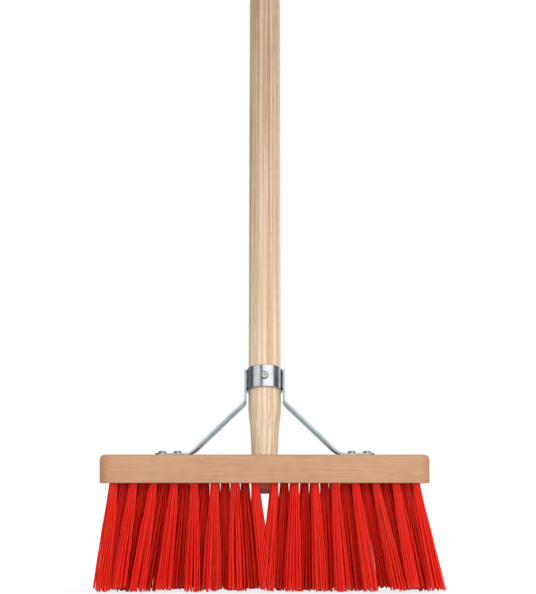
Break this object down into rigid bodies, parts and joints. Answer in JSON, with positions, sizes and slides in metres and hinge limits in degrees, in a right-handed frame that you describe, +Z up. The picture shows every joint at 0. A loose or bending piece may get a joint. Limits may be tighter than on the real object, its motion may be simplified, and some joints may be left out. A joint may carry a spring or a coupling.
{
  "type": "push broom",
  "caption": "Push broom: beech head with rows of stiff red plastic bristle, and a round wooden handle held by a zinc-plated band and brace straps.",
  "frame": {"origin": "on the plane of the bristle tips, under the middle of the head", "axes": "+X along the head, +Y the way the handle leans, +Z up from the bristle tips through the head"},
  "size_m": [0.3052, 0.3989, 1.4099],
  "materials": {
    "head_beech": "bare sanded beech",
    "pole_wood": "bare turned softwood",
    "zinc_plate": "bright zinc plate",
    "screw_steel": "zinc-plated screws",
    "weld_steel": "weld bead under the plating",
    "bristle_red": "glossy red bristle",
    "staple_wire": "plain steel wire"
  },
  "bodies": {
    "root": {"block": "head_beech", "handle": "pole_wood", "collar": "zinc_plate", "collar_screw": "screw_steel", "left_leg": "zinc_plate", "right_leg": "zinc_plate", "left_weld": "weld_steel", "right_weld": "weld_steel", "left_foot_screws": "screw_steel", "right_foot_screws": "screw_steel", "tuft_row_1": "bristle_red", "tuft_row_2": "bristle_red", "tuft_row_3": "bristle_red", "tuft_row_4": "bristle_red", "tuft_row_5": "bristle_red", "staple_row_1": "staple_wire", "staple_row_2": "staple_wire", "staple_row_3": "staple_wire", "staple_row_4": "staple_wire", "staple_row_5": "staple_wire"}
  },
  "joints": []
}
